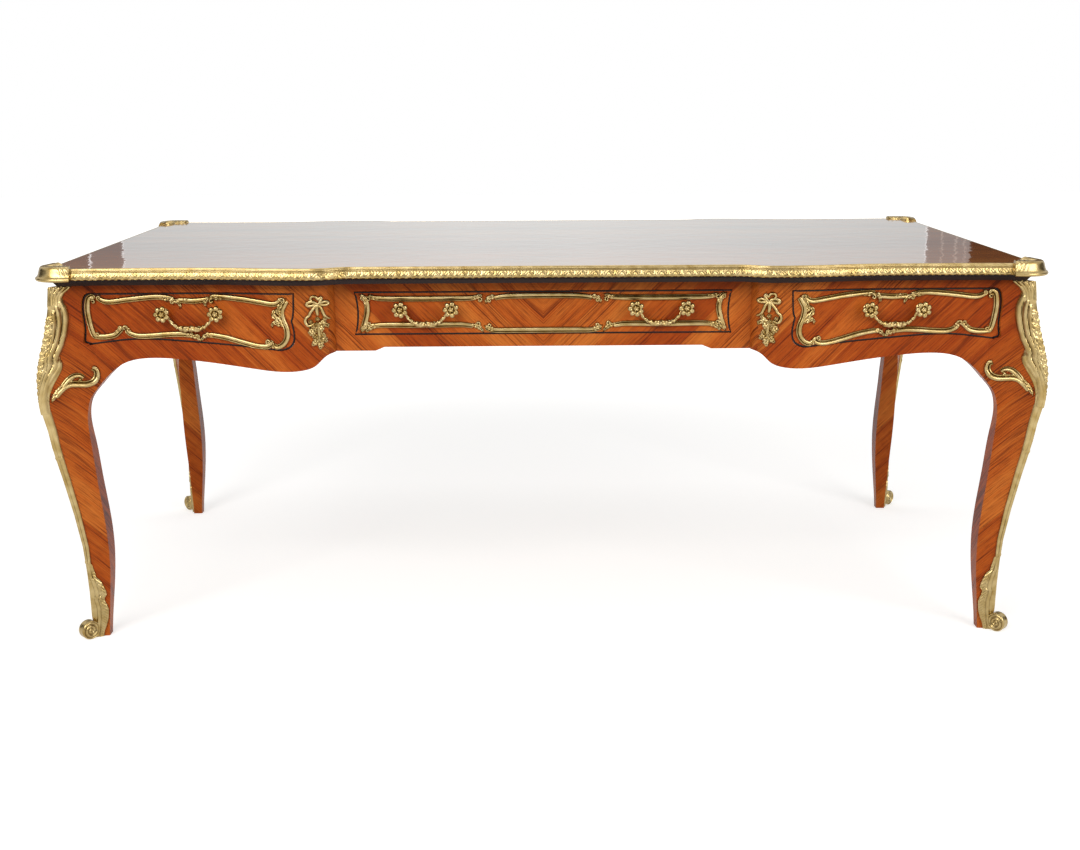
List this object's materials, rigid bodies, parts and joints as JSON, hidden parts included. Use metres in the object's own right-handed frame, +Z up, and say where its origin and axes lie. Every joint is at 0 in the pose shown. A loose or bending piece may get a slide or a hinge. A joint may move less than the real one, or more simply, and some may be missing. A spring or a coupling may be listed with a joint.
{
  "type": "bureau plat",
  "caption": "Flat-topped Louis XV style writing desk with cabriole legs, frieze drawers that slide, swinging bail handles and gilt bronze mounts.",
  "frame": {"origin": "on the floor under the middle of the desk", "axes": "+X to the right along the length, +Y to the back, +Z up; the drawers open along -Y"},
  "size_m": [2.0022, 1.034, 0.78],
  "materials": {
    "kingwood_veneer": "satin polish",
    "top_veneer": "gloss polish",
    "dark_moulding": "satin polish",
    "gilt_bronze": "antique gilt",
    "drawer_oak": "bare wood",
    "carcase_beech": "bare wood",
    "screw_steel": "plain"
  },
  "bodies": {
    "carcase": {"apron_centre": "kingwood_veneer", "apron_left": "kingwood_veneer", "apron_right": "kingwood_veneer", "back_frieze": "kingwood_veneer", "carcase_mounts": "gilt_bronze", "chute_back_left": "gilt_bronze", "chute_back_right": "gilt_bronze", "chute_front_left": "gilt_bronze", "chute_front_right": "gilt_bronze", "corner_mount_back_left": "gilt_bronze", "corner_mount_back_right": "gilt_bronze", "corner_mount_front_left": "gilt_bronze", "corner_mount_front_right": "gilt_bronze", "cross_rails": "carcase_beech", "drawer_runners": "carcase_beech", "edge_back": "gilt_bronze", "edge_front": "gilt_bronze", "edge_left": "gilt_bronze", "edge_right": "gilt_bronze", "edge_strip_back_left": "gilt_bronze", "edge_strip_back_right": "gilt_bronze", "edge_strip_front_left": "gilt_bronze", "edge_strip_front_right": "gilt_bronze", "end_friezes": "kingwood_veneer", "frieze_top_rail": "kingwood_veneer", "front_piers": "kingwood_veneer", "knee_scrolls": "gilt_bronze", "leg_back_left": "kingwood_veneer", "leg_back_right": "kingwood_veneer", "leg_front_left": "kingwood_veneer", "leg_front_right": "kingwood_veneer", "partitions": "carcase_beech", "sabot_back_left": "gilt_bronze", "sabot_back_right": "gilt_bronze", "sabot_front_left": "gilt_bronze", "sabot_front_right": "gilt_bronze", "sham_drawer_fronts": "kingwood_veneer", "top_core": "dark_moulding", "top_panel": "top_veneer", "top_screws": "screw_steel"},
    "drawer_left": {"drawer_left_bottom": "drawer_oak", "drawer_left_box": "drawer_oak", "drawer_left_front": "kingwood_veneer", "drawer_left_mounts": "gilt_bronze"},
    "drawer_centre": {"drawer_centre_bottom": "drawer_oak", "drawer_centre_box": "drawer_oak", "drawer_centre_front": "kingwood_veneer", "drawer_centre_mounts": "gilt_bronze"},
    "drawer_right": {"drawer_right_bottom": "drawer_oak", "drawer_right_box": "drawer_oak", "drawer_right_front": "kingwood_veneer", "drawer_right_mounts": "gilt_bronze"},
    "back_bail_centre_left": {"back_bail_centre_left": "gilt_bronze"},
    "back_bail_centre_right": {"back_bail_centre_right": "gilt_bronze"},
    "back_bail_left": {"back_bail_left": "gilt_bronze"},
    "back_bail_right": {"back_bail_right": "gilt_bronze"},
    "bail_centre_left": {"bail_centre_left": "gilt_bronze"},
    "bail_centre_right": {"bail_centre_right": "gilt_bronze"},
    "bail_left": {"bail_left": "gilt_bronze"},
    "bail_right": {"bail_right": "gilt_bronze"}
  },
  "joints": [
    {"name": "drawer_left_slide", "type": "slide", "parent": "carcase", "child": "drawer_left", "axis": [0, -1, 0], "range_m": [0, 0.36]},
    {"name": "drawer_centre_slide", "type": "slide", "parent": "carcase", "child": "drawer_centre", "axis": [0, -1, 0], "range_m": [0, 0.36]},
    {"name": "drawer_right_slide", "type": "slide", "parent": "carcase", "child": "drawer_right", "axis": [0, -1, 0], "range_m": [0, 0.36]},
    {"name": "bail_right_swing", "type": "hinge", "parent": "drawer_right", "child": "bail_right", "pos_m": [0.7045, -0.452, 0.683], "axis": [-1, 0, 0], "range_deg": [0, 28]},
    {"name": "back_bail_right_swing", "type": "hinge", "parent": "carcase", "child": "back_bail_right", "pos_m": [0.7045, 0.452, 0.683], "axis": [1, 0, 0], "range_deg": [0, 28]},
    {"name": "bail_left_swing", "type": "hinge", "parent": "drawer_left", "child": "bail_left", "pos_m": [-0.7045, -0.452, 0.683], "axis": [-1, 0, 0], "range_deg": [0, 28]},
    {"name": "back_bail_left_swing", "type": "hinge", "parent": "carcase", "child": "back_bail_left", "pos_m": [-0.7045, 0.452, 0.683], "axis": [1, 0, 0], "range_deg": [0, 28]},
    {"name": "bail_centre_right_swing", "type": "hinge", "parent": "drawer_centre", "child": "bail_centre_right", "pos_m": [0.236, -0.436, 0.6865], "axis": [-1, 0, 0], "range_deg": [0, 28]},
    {"name": "back_bail_centre_right_swing", "type": "hinge", "parent": "carcase", "child": "back_bail_centre_right", "pos_m": [0.236, 0.436, 0.6865], "axis": [1, 0, 0], "range_deg": [0, 28]},
    {"name": "bail_centre_left_swing", "type": "hinge", "parent": "drawer_centre", "child": "bail_centre_left", "pos_m": [-0.236, -0.436, 0.6865], "axis": [-1, 0, 0], "range_deg": [0, 28]},
    {"name": "back_bail_centre_left_swing", "type": "hinge", "parent": "carcase", "child": "back_bail_centre_left", "pos_m": [-0.236, 0.436, 0.6865], "axis": [1, 0, 0], "range_deg": [0, 28]}
  ]
}
